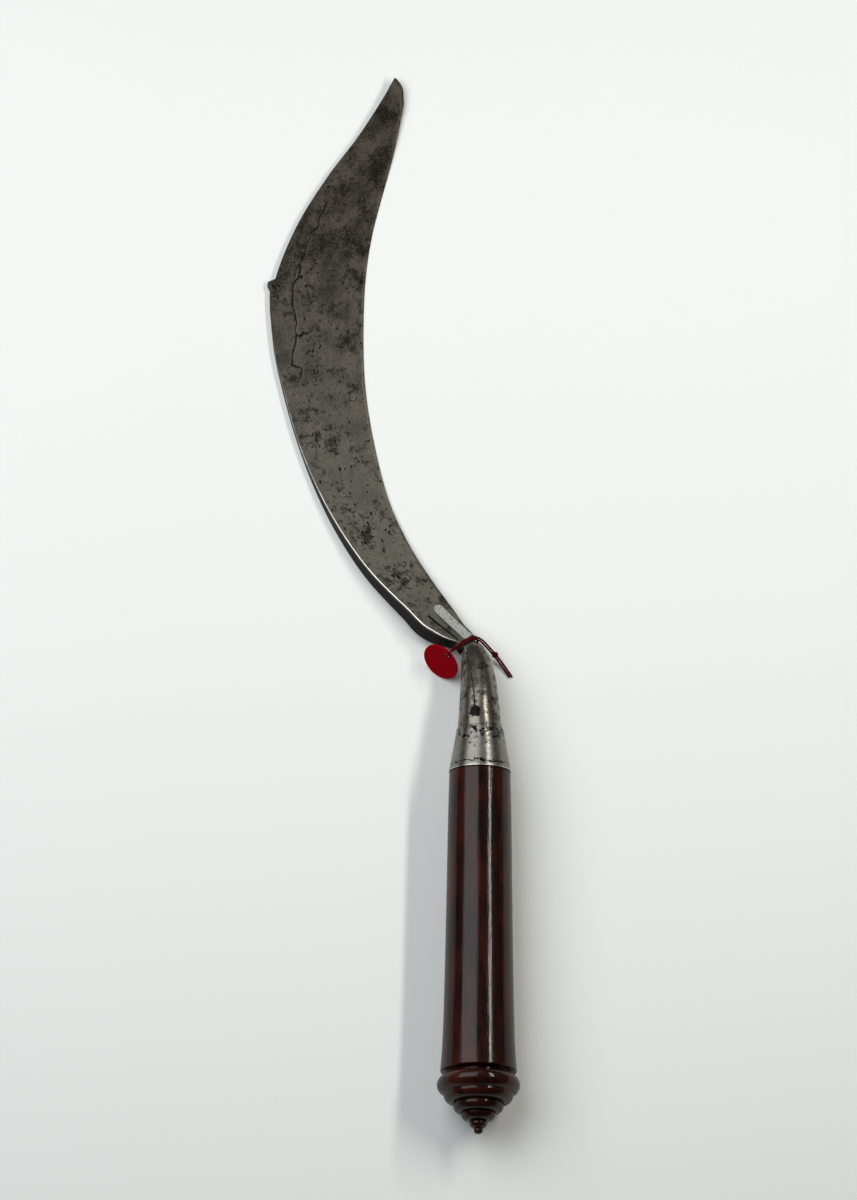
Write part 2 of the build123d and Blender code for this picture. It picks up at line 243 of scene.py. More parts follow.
tail_routes = {
    "cord_tail_a": [
        (-7.6, 259.9, 17.0), (-3.6, 262.0, 16.9), (-0.1, 260.9, 15.6), (2.7, 258.8, 12.4),
        (5.1, 257.2, 8.2), (6.9, 256.2, 4.6), (10.4, 252.4, 1.5), (14.9, 245.8, 0.75),
    ],
    "cord_tail_b": [
        (-6.9, 260.8, 17.1), (-2.9, 262.9, 17.0), (0.7, 261.7, 15.6), (3.5, 259.6, 12.3),
        (5.9, 258.0, 8.1), (7.7, 257.0, 4.7), (11.3, 253.0, 1.6), (16.2, 246.0, 0.75),
    ],
}
tail_lines = {}
for name, route in tail_routes.items():
    tail_lines[name] = smooth_line([from_handle(*spot) for spot in route])
    lay_up(name + "_thread", tail_lines[name])
    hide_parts(name)

# Cord knot: an overhand knot that ties both strands together, pulled down hard.
KNOT_AT = Vector(from_handle(7.3, 256.6, 4.9))
KNOT_SCALE = 0.00042
KNOT_RISE = 1.6
KNOT_STEPS = 60
knot_line = []
for i in range(KNOT_STEPS):
    turn = 2 * pi * i / KNOT_STEPS
    reach = 2 + cos(3 * turn)
    lobe = Vector((reach * cos(2 * turn), reach * sin(2 * turn), sin(3 * turn) * KNOT_RISE))
    knot_line.append(KNOT_AT + KNOT_SCALE * lobe)
knot = lay_up("cord_knot_thread", knot_line + knot_line[:1], closed=True)
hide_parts("cord_knot")


# Cord collar: two turns of the same thread, drawn tight round the iron neck.
NECK = Vector(from_handle(-6.7, 259.9, 12.2))
NECK_LEAN = radians(28)
NECK_FALL = radians(14)
COLLAR_HALF_WIDTH = 0.00545
COLLAR_HALF_HEIGHT = 0.00445
COLLAR_ROUNDING = 0.55  # 1 gives an ellipse, less comes nearer to the bar's square section
COLLAR_SLANT = 0.0005
COLLAR_STEPS = 48
neck_ahead = Vector((-sin(NECK_LEAN), cos(NECK_LEAN), -sin(NECK_FALL) / cos(NECK_FALL))).normalized()
neck_right = Vector((cos(NECK_LEAN), sin(NECK_LEAN), 0))
neck_up = neck_right.cross(neck_ahead)
for turn, shift in (("a", -0.00095), ("b", 0.00017)):
    loop_line = []
    for i in range(COLLAR_STEPS):
        angle = 2 * pi * i / COLLAR_STEPS
        wide = np.sign(cos(angle)) * abs(cos(angle)) ** COLLAR_ROUNDING * COLLAR_HALF_WIDTH
        tall = np.sign(sin(angle)) * abs(sin(angle)) ** COLLAR_ROUNDING * COLLAR_HALF_HEIGHT
        slant = COLLAR_SLANT * sin(angle + 0.6)
        loop_line.append(NECK + neck_ahead * (shift + slant) + neck_right * wide + neck_up * tall)
    collar = lay_up("cord_collar_turn_" + turn, loop_line + loop_line[:1], closed=True)
    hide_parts("cord_collar")

# Cord loop: the string that carries the tag, from the collar over the disc's rim, through its
# hole and back. The same thread, slack enough for the disc to swing.
loop_route = [
    (-8.6, 259.4, 16.9), (-12.8, 256.6, 19.9), (-14.95, 254.2, 20.5), (-17.25, 251.8, 17.9),
    (-17.6, 252.4, 15.4), (-15.9, 254.9, 14.2), (-13.6, 256.8, 13.4), (-11.9, 258.0, 13.0),
]
tag_loop = lay_up("cord_loop_thread", smooth_line([from_handle(*spot) for spot in loop_route]))
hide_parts("cord_loop")

# Tag disc: an inventory tag stamped from a sheet of vulcanised fibre, dyed dark red right
# through. It has one punched hole and a slightly rounded rim, and hangs on the string.

# Vulcanised fibre: pressed cotton paper, dense and matt, with a faint cloudy pulp figure of
# about 3 mm and a fine tooth of 0.3 mm that breaks up its low shine.
red_fibre, shader = new_finish("vulcanised_fibre", Roughness=0.8, Specular_IOR_Level=0.03)
place = add_node(red_fibre, "ShaderNodeTexCoord")
cloud = add_node(
    red_fibre, "ShaderNodeTexNoise", {"Scale": 330.0, "Detail": 4.0},
    {"Vector": place.outputs["Object"]},
)
pulp = add_node(
    red_fibre, "ShaderNodeTexNoise", {"Scale": 3300.0, "Detail": 2.0},
    {"Vector": place.outputs["Object"]},
)
tint = add_node(
    red_fibre, "ShaderNodeMix", {"A": hex_colour("#80000B"), "B": hex_colour("#9A0013")},
    {"Factor": cloud.outputs["Fac"]}, data_type="RGBA",
)
tooth = add_node(
    red_fibre, "ShaderNodeBump", {"Strength": 0.25, "Distance": 0.0001},
    {"Height": pulp.outputs["Fac"]},
)
red_fibre.node_tree.links.new(tint.outputs["Result"], shader.inputs["Base Color"])
red_fibre.node_tree.links.new(tooth.outputs["Normal"], shader.inputs["Normal"])
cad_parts["tag_disc"].material_slots[0].material = red_fibre

# Blade: a crescent forged from carbon steel, 3.6 mm thick along its back and thinned by the
# hammer to the cutting edge. Its underside lies flat, and the back has a small forged spur.
# Lines in millimetres from the handle's axis and the pommel's end, in pairs from neck to point.
BACK_LINE = [
    (-14.0, 259.2), (-21.5, 260.9), (-30.0, 265.2), (-40.2, 276.2), (-59.1, 298.1), (-74.3, 322.4),
    (-89.4, 356.0), (-100.0, 390.0), (-106.9, 423.0), (-107.5, 448.5), (-95.8, 483.0),
    (-79.3, 511.0), (-64.9, 530.8), (-54.9, 546.4), (-49.3, 555.8), (-47.0, 560.0), (-45.8, 562.2),
]
EDGE_LINE = [
    (-3.0, 264.6), (-8.0, 271.2), (-13.4, 279.3), (-22.3, 292.1), (-35.7, 313.6), (-46.0, 336.0),
    (-54.4, 368.0), (-59.3, 399.0), (-60.5, 427.5), (-59.8, 453.0), (-56.5, 479.0),
    (-51.4, 500.3), (-46.0, 521.3), (-42.2, 539.5), (-40.6, 551.5), (-41.8, 559.0), (-44.2, 562.4),
]
FLAT_FROM, FLAT_TO = 373.0, 499.0
ROOT_AT, POINT_AT = 262.0, 562.2
ROOT_LIFT, POINT_LIFT = 7.0, 4.0
BACK_T = 3.6
ROOT_GAIN, POINT_LOSS = 5.0, 1.2  # how much thicker the root is, and how much thinner the point
EDGE_T, EDGE_ROOT_T = 0.7, 5.0
SKEW = 4.6  # how far the upper arris stands in from the lower one, at the root
ALONG = 520  # rings along the blade


def smooth_through(values, at, where):
    """Values at the places asked for, on a smooth line through the given ones."""
    slope = np.gradient(values, at, axis=0)
    i = np.clip(np.searchsorted(at, where) - 1, 0, len(at) - 2)
    step = (at[i + 1] - at[i])[:, None]
    t = (where - at[i])[:, None] / step
    start = (2 * t**3 - 3 * t**2 + 1) * values[i] + (t**3 - 2 * t**2 + t) * step * slope[i]
    end = (3 * t**2 - 2 * t**3) * values[i + 1] + (t**3 - t**2) * step * slope[i + 1]
    return start + end


back_given, edge_given = np.array(BACK_LINE), np.array(EDGE_LINE)
middle_given = (back_given + edge_given) / 2
given_at = np.concatenate([[0], np.cumsum(np.linalg.norm(np.diff(middle_given, axis=0), axis=1))])
stations = np.linspace(0, given_at[-1], ALONG + 1)
back_at = smooth_through(back_given, given_at, stations)
edge_at = smooth_through(edge_given, given_at, stations)
middle = (back_at[:, 1] + edge_at[:, 1]) / 2
root_share = np.clip((FLAT_FROM - middle) / (FLAT_FROM - ROOT_AT), 0, 1)
point_share = np.clip((middle - FLAT_TO) / (POINT_AT - FLAT_TO), 0, 1)
lift = ROOT_LIFT * root_share**2 + POINT_LIFT * point_share**2
thickness = BACK_T + ROOT_GAIN * root_share**1.3 - POINT_LOSS * point_share
across = edge_at - back_at
width = np.linalg.norm(across, axis=1)
across = across / width[:, None]
skew = np.minimum(0.4 + SKEW * root_share**1.2, 0.22 * width)
edge_t = EDGE_T + EDGE_ROOT_T * root_share**16

# One ring of the blade's section: up the back, over its dressed arris, across the face, over
# the ground edge, and back along the underside. Shares run across each stretch.
FACE_STEPS = 66
stretches = [("back", 5), ("arris", 3), ("face", FACE_STEPS), ("bevel", 4), ("edge", 2), ("under", 16)]
rings = []
for i in range(ALONG + 1):
    w, t, s, e = width[i], thickness[i], skew[i], edge_t[i]
    arris = min(0.40, 0.12 * w)
    bevel = min(1.6, 0.12 * w)
    fall = (t - e) / (w - s)
    corners = {
        "back": ((0.0, 0.0), (s * (1 - arris / t), t - arris)),
        "arris": ((s * (1 - arris / t), t - arris), (s + arris, t - fall * arris)),
        "face": ((s + arris, t - fall * arris), (w - bevel, e + fall * bevel)),
        "bevel": ((w - bevel, e + fall * bevel), (w, 0.35 * e)),
        "edge": ((w, 0.35 * e), (w - 0.1, 0.0)),
        "under": ((w - 0.1, 0.0), (0.0, 0.0)),
    }
    ring = []
    for name, steps in stretches:
        (x0, z0), (x1, z1) = corners[name]
        for k in range(steps):
            ring.append((x0 + (x1 - x0) * k / steps, z0 + (z1 - z0) * k / steps))
    rings.append(ring + ring[:1])
section = np.array(rings)
around = section.shape[1] - 1
ground = back_at[:, None, :] + across[:, None, :] * section[:, :, :1]
height = lift[:, None] + section[:, :, 1]

# The spur rises slowly along the back and drops away at once on the side of the point.
along_back = back_at[:, 1]
SPUR_AT = [434, 444, 450, 452.5, 454.8, 455.5]
SPUR_OUT = [0, 0.6, 1.4, 3.0, 3.6, 0]
spur = np.interp(along_back, SPUR_AT, SPUR_OUT) * (stations < given_at[10])
near_back = np.clip(1 - section[:, :, 0] / 7.0, 0, 1)
ground = ground - across[:, None, :] * (spur[:, None] * near_back)[:, :, None]

# Hammer work and age on the face: shallow hammer marks, pits in clusters, one long ragged
# crack near the middle, and the seat that the tang's tongue is welded into. The marks are 11 mm
# across with 4 mm ones among them, and cracks and pits wander over 3.4 and 1.2 mm.
CRACK = [
    (-34.9, 215.0), (-37.9, 208.4), (-40.4, 201.7), (-43.2, 198.9), (-45.0, 194.0), (-46.0, 188.8),
    (-47.5, 184.8), (-49.0, 177.3), (-52.0, 170.4), (-52.5, 164.6), (-52.0, 158.8), (-50.9, 154.6),
    (-50.7, 144.5), (-50.8, 139.9), (-52.1, 132.9), (-52.5, 129.2), (-47.7, 126.8), (-48.4, 121.8),
]
CRACK_BRANCH = [(-50.7, 144.5), (-48.6, 144.0), (-46.9, 146.3), (-44.9, 145.4), (-42.4, 146.9)]
PITS = [
    (-48.0, 175.8, 1.3), (-44.2, 119.1, 0.8), (-41.1, 126.3, 1.0), (-32.8, 102.0, 0.8), (-29.9, 89.1, 0.9),
    (-19.6, 83.8, 0.8), (-27.6, 73.7, 1.2), (-37.2, 66.8, 0.9), (-24.9, 41.4, 0.9), (-2.4, 40.0, 1.0),
    (-45.9, 171.0, 1.2), (-37.3, 191.2, 1.1), (-22.4, 60.5, 1.1), (26.9, -13.1, 0.9),
]
PIT_FIELDS = [
    (-38, 184, 9, 60), (-44, 168, 8, 50), (-38, 148, 9, 55), (-42, 126, 8, 60), (-26, 92, 10, 50),
    (-20, 66, 10, 45), (-8, 42, 9, 40), (6, 20, 8, 35), (18, 4, 5, 20), (-28, 205, 12, 25),
]
TONGUE = [
    (-25.8, 275.1), (-27.3, 279.6), (-25.2, 284.0), (-21.0, 284.4),
    (-4.4, 266.4), (-2.0, 261.0), (-12.2, 258.6), (-11.5, 262.4),
]
HAMMER_DEPTH = 0.10
CRACK_DEPTH, CRACK_HALF = 0.30, 0.55
RAGGED = 0.9  # how far a crack or pit strays from its drawn line
STRAY_SEED = 7
SEAT_DEPTH = 1.6
BACK_RIPPLE = 0.12
x_mm = ground[:, :, 0] + HANDLE_X * 1000
y_mm = ground[:, :, 1] + POMMEL_Y * 1000


def nearness(line, x, y):
    """Distance from each place to a line of points, in the same unit."""
    nearest = np.full(x.shape, 1e3)
    for (x0, y0), (x1, y1) in zip(line, line[1:]):
        share = ((x - x0) * (x1 - x0) + (y - y0) * (y1 - y0)) / ((x1 - x0) ** 2 + (y1 - y0) ** 2)
        share = np.clip(share, 0, 1)
        nearest = np.minimum(nearest, np.hypot(x - x0 - share * (x1 - x0), y - y0 - share * (y1 - y0)))
    return nearest


hammer = np.zeros(x_mm.shape)
wander_x, wander_y = np.zeros(x_mm.shape), np.zeros(x_mm.shape)
noise.seed_set(STRAY_SEED)
for i in range(ALONG + 1):
    for k in range(around + 1):
        spot = Vector((x_mm[i, k], y_mm[i, k], 0.3))
        hammer[i, k] = noise.noise(spot / 11) + 0.4 * noise.noise(spot / 4)
        drift = noise.noise_vector(spot / 3.4) + 0.35 * noise.noise_vector(spot / 1.2)
        wander_x[i, k], wander_y[i, k] = drift.x, drift.y
ragged_x, ragged_y = x_mm + RAGGED * wander_x, y_mm + RAGGED * wander_y
crack_mm = np.minimum(nearness(CRACK, ragged_x, ragged_y), nearness(CRACK_BRANCH, ragged_x, ragged_y))
pit_depth = np.zeros(x_mm.shape)
dice = np.random.default_rng(7)
small_pits = []
for x, y, spread_mm, count in PIT_FIELDS:
    for _ in range(count):
        spot = dice.normal((x, y), (0.6 * spread_mm, spread_mm))
        small_pits.append((spot[0], spot[1], 0.4 + 0.5 * dice.random() ** 2))
for x, y, radius in PITS + small_pits:
    gap = np.hypot((ragged_x - x) * 1.5, ragged_y - y) / radius
    pit_depth = np.maximum(pit_depth, 0.25 * radius * np.exp(-gap**2 * 1.8))
inside = np.zeros(x_mm.shape, bool)
tongue_x = [x + HANDLE_X * 1000 for x, _ in TONGUE]
tongue_y = [y + POMMEL_Y * 1000 for _, y in TONGUE]
for i in range(len(TONGUE)):
    x0, y0, x1, y1 = tongue_x[i - 1], tongue_y[i - 1], tongue_x[i], tongue_y[i]
    crosses = (y0 > y_mm) != (y1 > y_mm)
    with np.errstate(divide="ignore", invalid="ignore"):
        inside ^= crosses & (x_mm < (x1 - x0) * (y_mm - y0) / (y1 - y0) + x0)
lap_mm = nearness([(-11.5, 262.4), (-25.8, 275.1)], ground[:, :, 0], ground[:, :, 1])
inside &= nearness(list(zip(tongue_x, tongue_y))[1:-1], x_mm, y_mm) > 0.7
crack_mm = np.minimum(crack_mm, np.maximum(lap_mm - 0.4, 0))
seat = np.where(inside | (lap_mm < CRACK_HALF), SEAT_DEPTH, 0.0)

names = [name for name, steps in stretches for _ in range(steps)] + ["back"]
on_face = np.array([name in ("face", "bevel") for name in names])
share_across = np.clip(section[:, :, 0] / width[:, None], 0, 1)
calm = np.clip((stations - 14) / 25, 0, 1)[:, None] * np.clip((1 - share_across) * 6, 0, 1)
dip = HAMMER_DEPTH * (hammer - 0.5) * calm - pit_depth * calm
dip -= CRACK_DEPTH * np.exp(-(crack_mm / CRACK_HALF) ** 2)
height = height + np.where(on_face[None, :], dip - seat, 0.0)
ripple = BACK_RIPPLE * hammer * calm
in_back = np.array([name == "back" for name in names])
ground = ground + across[:, None, :] * np.where(in_back[None, :], ripple, 0.0)[:, :, None]
height = np.maximum(height, 0.0)

# The back's top arris gets a painted highlight: a thin near-white line in its colour, strongest towards the
# root.
on_arris = np.array([name == "arris" for name in names])
on_arris[np.argmax(on_arris)] = False
bright = np.interp(stations, [0, 30, 110, 150, 200], [0.9, 1.0, 0.8, 0.3, 0.0])[:, None] * on_arris[None, :]

bpy.ops.object.select_all(action="DESELECT")
bpy.ops.mesh.primitive_grid_add(x_subdivisions=around, y_subdivisions=ALONG, size=1)
blade = bpy.context.object
blade.name = "forged_blade"
flat = np.zeros(len(blade.data.vertices) * 3)
blade.data.vertices.foreach_get("co", flat)
flat = flat.reshape(-1, 3)
column = np.rint((flat[:, 0] + 0.5) * around).astype(int)
row = np.rint((flat[:, 1] + 0.5) * ALONG).astype(int)
placed = np.stack([x_mm[row, column], y_mm[row, column], height[row, column]], axis=1) / 1000
blade.data.vertices.foreach_set("co", placed.ravel())
crack_field = blade.data.attributes.new("crack_near", "FLOAT", "POINT")
crack_field.data.foreach_set("value", 9 - np.minimum(crack_mm, 9)[row, column])
pit_field = blade.data.attributes.new("pit_mm", "FLOAT", "POINT")
pit_field.data.foreach_set("value", pit_depth[row, column])
# Painted highlight along the back's top arris, stored on the points.
arris_highlight_field = blade.data.attributes.new("arris_highlight", "FLOAT", "POINT")
arris_highlight_field.data.foreach_set("value", bright[row, column])
# The back face's points are marked for painted shade.
back_shade_field = blade.data.attributes.new("back_face_shade", "FLOAT", "POINT")
back_shade_field.data.foreach_set("value", in_back[column].astype(float))
corner_vertex = np.zeros(len(blade.data.loops), int)
blade.data.loops.foreach_get("vertex_index", corner_vertex)
run_m = stations / 1000
reach_m = np.maximum(section[:, :, 0], 0) / 1000
unrolled = np.stack([reach_m[row, column], run_m[row]], axis=1)[corner_vertex]
blade.data.uv_layers[0].data.foreach_set("uv", unrolled.ravel())
bpy.ops.object.mode_set(mode="EDIT")
bpy.ops.mesh.select_all(action="SELECT")
bpy.ops.mesh.remove_doubles(threshold=0.000001)
bpy.ops.mesh.select_all(action="DESELECT")
bpy.ops.mesh.select_non_manifold()
bpy.ops.mesh.fill_holes(sides=0)
bpy.ops.mesh.select_all(action="SELECT")
bpy.ops.mesh.normals_make_consistent(inside=False)
bpy.ops.object.mode_set(mode="OBJECT")
bpy.ops.object.shade_smooth_by_angle(angle=radians(28))

# Forged carbon steel under years of oil: a brown-black skin in 13 mm patches, greyer where hands
# and cloth have rubbed it, and lightened to grey towards the root by a painted reflection. Draw
# streaks 2.4 mm wide and 17 mm long run along the blade, over a grain of 0.9 mm. Blots of 3.8 mm
# and black flecks of 1.3 by 2.3 mm gather in 14 mm clusters, with a black crack, dark pits and a
# few 2.4 mm freckles of brown rust. The back face is coloured near-black as painted shade, and
# the back's top arris carries a painted highlight.
forged_steel, shader = new_finish("oiled_forged_steel", Metallic=0.85)
surface = add_node(forged_steel, "ShaderNodeUVMap", uv_map="UVMap")
place = add_node(forged_steel, "ShaderNodeTexCoord")
lengthwise = add_node(
    forged_steel, "ShaderNodeMapping", {"Scale": (420.0, 60.0, 1.0)}, {"Vector": surface.outputs["UV"]},
)
streaks = add_node(
    forged_steel, "ShaderNodeTexNoise", {"Scale": 1.0, "Detail": 6.0, "Roughness": 0.6},
    {"Vector": lengthwise.outputs["Vector"]},
)
patches = add_node(
    forged_steel, "ShaderNodeTexNoise", {"Scale": 75.0, "Detail": 8.0, "Roughness": 0.68},
    {"Vector": place.outputs["Object"]},
)
grain = add_node(
    forged_steel, "ShaderNodeTexNoise", {"Scale": 1100.0, "Detail": 3.0},
    {"Vector": place.outputs["Object"]},
)
crack = add_node(forged_steel, "ShaderNodeAttribute", attribute_name="crack_near")
pitted = add_node(forged_steel, "ShaderNodeAttribute", attribute_name="pit_mm")
grainy = add_node(forged_steel, "ShaderNodeMath", {1: 0.3}, {0: grain.outputs["Fac"]}, operation="MULTIPLY")
wear = add_node(
    forged_steel, "ShaderNodeMath", {1: 0.15}, {0: streaks.outputs["Fac"], 2: grainy.outputs["Value"]},
    operation="MULTIPLY_ADD",
)
worn = add_node(
    forged_steel, "ShaderNodeMath", {1: 0.55}, {0: patches.outputs["Fac"], 2: wear.outputs["Value"]},
    operation="MULTIPLY_ADD",
)
worn_share = add_node(
    forged_steel, "ShaderNodeMapRange", {"From Min": 0.42, "From Max": 0.58},
    {"Value": worn.outputs["Value"]},
)
skin = add_node(
    forged_steel, "ShaderNodeMix", {"A": hex_colour("#1D1813"), "B": hex_colour("#4C463D")},
    {"Factor": worn_share.outputs["Result"]}, data_type="RGBA",
)
# Painted reflection: towards the root the colour is lightened to grey, standing in for the light that the
# face reflects there.
split_place = add_node(forged_steel, "ShaderNodeSeparateXYZ", {}, {"Vector": surface.outputs["UV"]})
toward_root = add_node(
    forged_steel, "ShaderNodeMapRange", {"From Min": 0.24, "From Max": 0.02},
    {"Value": split_place.outputs["Y"]},
)
root_reflection = add_node(
    forged_steel, "ShaderNodeMix", {"B": hex_colour("#8F8B80")},
    {"A": skin.outputs["Result"]}, data_type="RGBA",
)
root_reflection_share = add_node(
    forged_steel, "ShaderNodeMath", {1: 0.42}, {0: toward_root.outputs["Result"]}, operation="MULTIPLY",
)
forged_steel.node_tree.links.new(root_reflection_share.outputs["Value"], root_reflection.inputs["Factor"])
rust_spots = add_node(
    forged_steel, "ShaderNodeTexNoise", {"Scale": 420.0, "Detail": 3.0},
    {"Vector": place.outputs["Object"]},
)
rust_share = add_node(
    forged_steel, "ShaderNodeMapRange", {"From Min": 0.73, "From Max": 0.78},
    {"Value": rust_spots.outputs["Fac"]},
)
rusty = add_node(
    forged_steel, "ShaderNodeMix", {"B": hex_colour("#7A5630")},
    {"Factor": rust_share.outputs["Result"], "A": root_reflection.outputs["Result"]}, data_type="RGBA",
)
clusters = add_node(
    forged_steel, "ShaderNodeTexNoise", {"Scale": 70.0, "Detail": 2.0},
    {"Vector": place.outputs["Object"]},
)
blots = add_node(
    forged_steel, "ShaderNodeTexNoise", {"Scale": 260.0, "Detail": 7.0, "Roughness": 0.7},
    {"Vector": place.outputs["Object"]},
)
blot_sum = add_node(
    forged_steel, "ShaderNodeMath", {1: 0.5}, {0: clusters.outputs["Fac"], 2: blots.outputs["Fac"]},
    operation="MULTIPLY_ADD",
)
blot_share = add_node(
    forged_steel, "ShaderNodeMapRange", {"From Min": 0.78, "From Max": 0.90, "To Max": 0.8},
    {"Value": blot_sum.outputs["Value"]},
)
blotted = add_node(
    forged_steel, "ShaderNodeMix", {"B": hex_colour("#1C140C")},
    {"Factor": blot_share.outputs["Result"], "A": rusty.outputs["Result"]}, data_type="RGBA",
)
fleck_place = add_node(
    forged_steel, "ShaderNodeMapping", {"Scale": (760.0, 430.0, 1.0)},
    {"Vector": surface.outputs["UV"]},
)
flecks = add_node(
    forged_steel, "ShaderNodeTexNoise", {"Scale": 1.0, "Detail": 3.0, "Distortion": 0.7},
    {"Vector": fleck_place.outputs["Vector"]},
)
fleck_sum = add_node(
    forged_steel, "ShaderNodeMath", {1: 0.45}, {0: clusters.outputs["Fac"], 2: flecks.outputs["Fac"]},
    operation="MULTIPLY_ADD",
)
fleck_share = add_node(
    forged_steel, "ShaderNodeMapRange", {"From Min": 0.87, "From Max": 0.90},
    {"Value": fleck_sum.outputs["Value"]},
)
ragged = add_node(
    forged_steel, "ShaderNodeMath", {1: 0.9}, {0: grain.outputs["Fac"], 2: crack.outputs["Fac"]},
    operation="MULTIPLY_ADD",
)
crack_share = add_node(
    forged_steel, "ShaderNodeMapRange", {"From Min": 8.85, "From Max": 9.1},
    {"Value": ragged.outputs["Value"]},
)
pit_share = add_node(
    forged_steel, "ShaderNodeMapRange", {"From Min": 0.04, "From Max": 0.10},
    {"Value": pitted.outputs["Fac"]},
)
pocked = add_node(
    forged_steel, "ShaderNodeMath", {},
    {0: fleck_share.outputs["Result"], 1: pit_share.outputs["Result"]}, operation="MAXIMUM",
)
hollow = add_node(
    forged_steel, "ShaderNodeMath", {}, {0: crack_share.outputs["Result"], 1: pocked.outputs["Value"]},
    operation="MAXIMUM",
)
blackened = add_node(
    forged_steel, "ShaderNodeMix", {"B": hex_colour("#0D0A08")},
    {"Factor": hollow.outputs["Value"], "A": blotted.outputs["Result"]}, data_type="RGBA",
)
# Painted highlight: near-white colour mixed in along the back's top arris.
arris_highlight = add_node(forged_steel, "ShaderNodeAttribute", attribute_name="arris_highlight")
# Painted shade: the whole back face is coloured near-black.
back_face_shade = add_node(forged_steel, "ShaderNodeAttribute", attribute_name="back_face_shade")
back_shaded = add_node(
    forged_steel, "ShaderNodeMix", {"B": hex_colour("#1B1714")},
    {"Factor": back_face_shade.outputs["Fac"], "A": blackened.outputs["Result"]}, data_type="RGBA",
)
brightened = add_node(
    forged_steel, "ShaderNodeMix", {"B": hex_colour("#F0EEE6")},
    {"Factor": arris_highlight.outputs["Fac"], "A": back_shaded.outputs["Result"]}, data_type="RGBA",
)
gloss = add_node(
    forged_steel, "ShaderNodeMapRange",
    {"From Min": 0.3, "From Max": 0.7, "To Min": 0.36, "To Max": 0.58},
    {"Value": worn.outputs["Value"]},
)
relief = add_node(
    forged_steel, "ShaderNodeMath", {1: 0.5}, {0: grain.outputs["Fac"], 2: streaks.outputs["Fac"]},
    operation="MULTIPLY_ADD",
)
tooth = add_node(
    forged_steel, "ShaderNodeBump", {"Strength": 0.5, "Distance": 0.0002},
    {"Height": relief.outputs["Value"]},
)
forged_steel.node_tree.links.new(brightened.outputs["Result"], shader.inputs["Base Color"])
forged_steel.node_tree.links.new(gloss.outputs["Result"], shader.inputs["Roughness"])
forged_steel.node_tree.links.new(tooth.outputs["Normal"], shader.inputs["Normal"])
blade.data.materials.append(forged_steel)
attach(blade, "sickle")
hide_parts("blade")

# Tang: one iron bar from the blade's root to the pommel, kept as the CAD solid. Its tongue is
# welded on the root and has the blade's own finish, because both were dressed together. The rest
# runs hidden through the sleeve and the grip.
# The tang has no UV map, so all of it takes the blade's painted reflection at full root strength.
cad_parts["tang"].material_slots[0].material = forged_steel

# Tang washer: a hidden iron washer under the tang's peened end, kept as the CAD solid.

# Wrought iron, waxed: dark grey-brown with a rubbed sheen, cloudy over 8 mm, and hammer scale
# with a grain of 1.1 mm.
wrought_iron, shader = new_finish("waxed_wrought_iron", Metallic=0.85)
place = add_node(wrought_iron, "ShaderNodeTexCoord")
cloud = add_node(
    wrought_iron, "ShaderNodeTexNoise", {"Scale": 120.0, "Detail": 5.0},
    {"Vector": place.outputs["Object"]},
)
scale = add_node(
    wrought_iron, "ShaderNodeTexNoise", {"Scale": 900.0, "Detail": 4.0},
    {"Vector": place.outputs["Object"]},
)
iron_tint = add_node(
    wrought_iron, "ShaderNodeMix", {"A": hex_colour("#3C362E"), "B": hex_colour("#6A655A")},
    {"Factor": cloud.outputs["Fac"]}, data_type="RGBA",
)
gloss = add_node(
    wrought_iron, "ShaderNodeMapRange", {"To Min": 0.3, "To Max": 0.5}, {"Value": scale.outputs["Fac"]},
)
tooth = add_node(
    wrought_iron, "ShaderNodeBump", {"Strength": 0.3, "Distance": 0.0002},
    {"Height": scale.outputs["Fac"]},
)
wrought_iron.node_tree.links.new(iron_tint.outputs["Result"], shader.inputs["Base Color"])
wrought_iron.node_tree.links.new(gloss.outputs["Result"], shader.inputs["Roughness"])
wrought_iron.node_tree.links.new(tooth.outputs["Normal"], shader.inputs["Normal"])
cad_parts["tang_washer"].material_slots[0].material = wrought_iron

# Seam rivet: a small rivet filed off beside the sleeve's seam, kept as the CAD solid.

# Rivet: black, rough and hardly metallic, painted shade so that it reads as a hollow.
rivet_shade, shader = new_finish("rivet_hollow_shade", Metallic=0.3, Roughness=0.85)
shader.inputs["Base Color"].default_value = hex_colour("#0B0807")
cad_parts["seam_rivet"].material_slots[0].material = rivet_shade

# Shank sleeve: sheet iron rolled over a mandrel and closed round the tang, with an open seam on
# top. It is kept as the CAD solid.
RIVET_AT = (0.0419, -0.0619, 0.0315)

# Sheet iron, polished by hands: bright where it is rubbed, with 4.3 mm blotches of brown-black
# old skin, soft dents of 6.7 mm, a tooth of 1 mm and a ragged near-black ring of painted shade
# round the rivet, so that it reads as a hollow.
sheet_iron, shader = new_finish("handled_sheet_iron", Metallic=0.95)
place = add_node(sheet_iron, "ShaderNodeTexCoord")
blotch = add_node(
    sheet_iron, "ShaderNodeTexNoise", {"Scale": 230.0, "Detail": 6.0, "Roughness": 0.65},
    {"Vector": place.outputs["Object"]},
)
dents = add_node(
    sheet_iron, "ShaderNodeTexNoise", {"Scale": 150.0, "Detail": 2.0},
    {"Vector": place.outputs["Object"]},
)
fine = add_node(
    sheet_iron, "ShaderNodeTexNoise", {"Scale": 1000.0, "Detail": 4.0},
    {"Vector": place.outputs["Object"]},
)
skin_share = add_node(
    sheet_iron, "ShaderNodeMapRange", {"From Min": 0.49, "From Max": 0.62},
    {"Value": blotch.outputs["Fac"]},
)
sheet_tint = add_node(
    sheet_iron, "ShaderNodeMix", {"A": hex_colour("#706B63"), "B": hex_colour("#2A241F")},
    {"Factor": skin_share.outputs["Result"]}, data_type="RGBA",
)
worm = add_node(
    sheet_iron, "ShaderNodeTexNoise", {"Scale": 700.0, "Detail": 3.0},
    {"Vector": place.outputs["Object"]},
)
